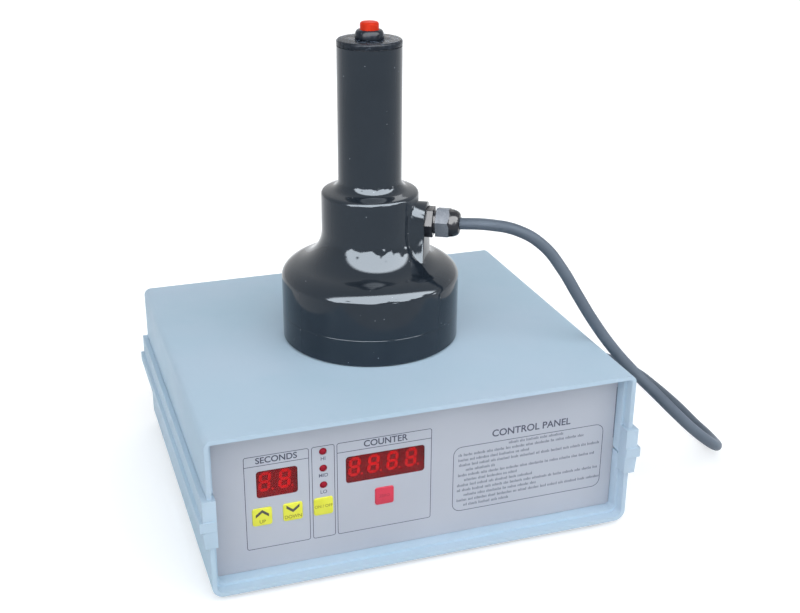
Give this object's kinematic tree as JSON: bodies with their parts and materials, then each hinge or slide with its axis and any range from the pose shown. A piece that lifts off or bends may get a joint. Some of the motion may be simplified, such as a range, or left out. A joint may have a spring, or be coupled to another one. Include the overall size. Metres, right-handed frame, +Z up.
{
  "type": "induction cap sealer",
  "caption": "Bench-top induction cap sealer: a low plastic generator case with a recessed control panel, and a cabled hand-held sealing head resting on its lid.",
  "frame": {"origin": "on the surface that the feet stand on, under the middle of the case", "axes": "+Z up, -Y towards the front with the control panel, +X to the right seen from the front"},
  "size_m": [0.426, 0.3275, 0.335],
  "materials": {
    "case_plastic": "fine matt texture",
    "panel_plate": "satin grey",
    "panel_film": "satin silver-grey film",
    "window_red": "clear dark red",
    "display_black": "matt",
    "segment_red": "translucent red",
    "led_red": "diffuse dark red",
    "key_yellow": "satin",
    "key_red": "satin",
    "board_green": "solder mask",
    "component_black": "moulded",
    "fan_black": "moulded",
    "steel": "zinc plated",
    "inlet_black": "moulded",
    "pin_metal": "plated",
    "rocker_red": "translucent red",
    "gland_black": "nylon",
    "seal_rubber": "matt",
    "aluminium": "extruded",
    "capacitor_blue": "shrink sleeve",
    "film_red": "epoxy dipped",
    "ferrite": "sintered",
    "winding_tape": "polyester tape",
    "copper": "enamelled copper",
    "former_white": "glass-filled",
    "head_black": "high gloss",
    "button_red": "gloss",
    "cable_grey": "satin"
  },
  "bodies": {
    "machine": {"top_shell": "case_plastic", "bottom_shell": "case_plastic", "left_side_strip": "case_plastic", "right_side_strip": "case_plastic", "case_screws": "steel", "rubber_feet": "seal_rubber", "front_panel": "panel_plate", "panel_overlay": "panel_film", "time_window": "window_red", "count_window": "window_red", "time_display": "display_black", "count_display": "display_black", "time_digits": "segment_red", "count_digits": "segment_red", "level_leds": "led_red", "tact_switches": "component_black", "display_board": "board_green", "rear_panel": "panel_plate", "fan_frame": "fan_black", "fan_guard": "steel", "fan_screws": "steel", "power_inlet": "inlet_black", "inlet_pins": "pin_metal", "rocker_frame": "inlet_black", "rear_gland_body": "gland_black", "rear_gland_nut": "gland_black", "rear_gland_locknut": "gland_black", "power_board": "board_green", "board_screws": "steel", "heat_sink": "aluminium", "power_transistors": "component_black", "bridge_rectifier": "component_black", "storage_capacitors": "capacitor_blue", "film_capacitors": "film_red", "transformer_core": "ferrite", "transformer_winding": "winding_tape", "filter_choke": "copper", "mains_fuse": "pin_metal", "head_body": "head_black", "head_base_cap": "head_black", "head_screws": "steel", "induction_coil": "copper", "coil_former": "former_white", "ferrite_bars": "ferrite", "handle_cap": "head_black", "button_housing": "head_black", "button_nut": "steel", "button_switch": "component_black", "button_spring": "steel", "head_gland_body": "gland_black", "head_gland_nut": "gland_black", "gland_seals": "seal_rubber", "head_cable": "cable_grey"},
    "trigger_button": {"trigger_button": "button_red"},
    "increase_key": {"key_increase": "key_yellow"},
    "reduce_key": {"key_reduce": "key_yellow"},
    "power_key": {"key_power": "key_yellow"},
    "reset_key": {"key_reset": "key_red"},
    "rocker": {"rocker_switch": "rocker_red"},
    "fan_wheel": {"fan_rotor": "fan_black"}
  },
  "joints": [
    {"name": "button_press", "type": "slide", "parent": "machine", "child": "trigger_button", "axis": [0, 0, -1], "range_m": [0, 0.003], "stiffness_N_per_m": 500, "springref_m": -0.002, "deforming": ["button_spring"]},
    {"name": "increase_press", "type": "slide", "parent": "machine", "child": "increase_key", "axis": [0, 1, 0], "range_m": [0, 0.0005], "stiffness_N_per_m": 1200, "springref_m": -0.0005},
    {"name": "reduce_press", "type": "slide", "parent": "machine", "child": "reduce_key", "axis": [0, 1, 0], "range_m": [0, 0.0005], "stiffness_N_per_m": 1200, "springref_m": -0.0005},
    {"name": "power_press", "type": "slide", "parent": "machine", "child": "power_key", "axis": [0, 1, 0], "range_m": [0, 0.0005], "stiffness_N_per_m": 1200, "springref_m": -0.0005},
    {"name": "reset_press", "type": "slide", "parent": "machine", "child": "reset_key", "axis": [0, 1, 0], "range_m": [0, 0.0005], "stiffness_N_per_m": 1200, "springref_m": -0.0005},
    {"name": "rocker_tilt", "type": "hinge", "parent": "machine", "child": "rocker", "pos_m": [0.048, 0.1121, 0.06], "axis": [1, 0, 0], "range_deg": [0, 16]},
    {"name": "fan_spin", "type": "hinge", "parent": "machine", "child": "fan_wheel", "pos_m": [-0.075, 0.1, 0.06], "axis": [0, 1, 0], "continuous": true}
  ]
}
